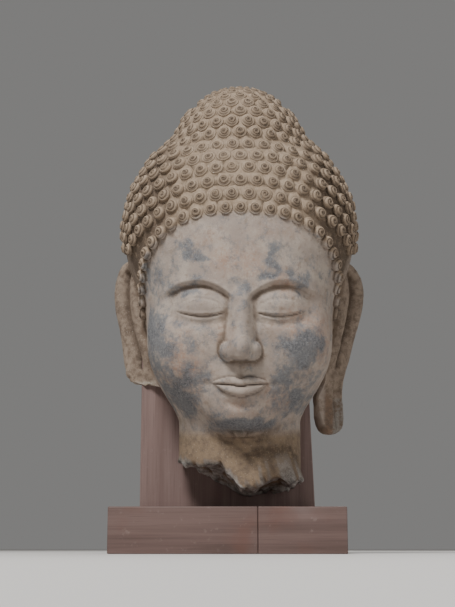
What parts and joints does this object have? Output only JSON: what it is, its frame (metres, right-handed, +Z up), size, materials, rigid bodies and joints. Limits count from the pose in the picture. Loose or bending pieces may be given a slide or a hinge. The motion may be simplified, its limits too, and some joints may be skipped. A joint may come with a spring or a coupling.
{
  "type": "stone buddha head on a wooden mount",
  "caption": "Carved stone Buddha head with snail-curl hair and long ears, broken at the neck, held up by a wooden post on a two-board wooden foot.",
  "frame": {"origin": "centre of the foot's underside, on the surface it stands on", "axes": "+Z up; the face looks along -Y; +X to the right when the face is seen from the front"},
  "size_m": [0.2807, 0.2471, 0.5093],
  "materials": {
    "weathered_limestone": "matt weathered blue-grey limestone under tan dust, with a dark rough break at the neck",
    "stained_wood": "satin mauve-brown stained hardwood with fine grain"
  },
  "bodies": {
    "root": {"stone_head": "weathered_limestone", "mount_post": "stained_wood", "foot_board_left": "stained_wood", "foot_board_right": "stained_wood"}
  },
  "joints": []
}
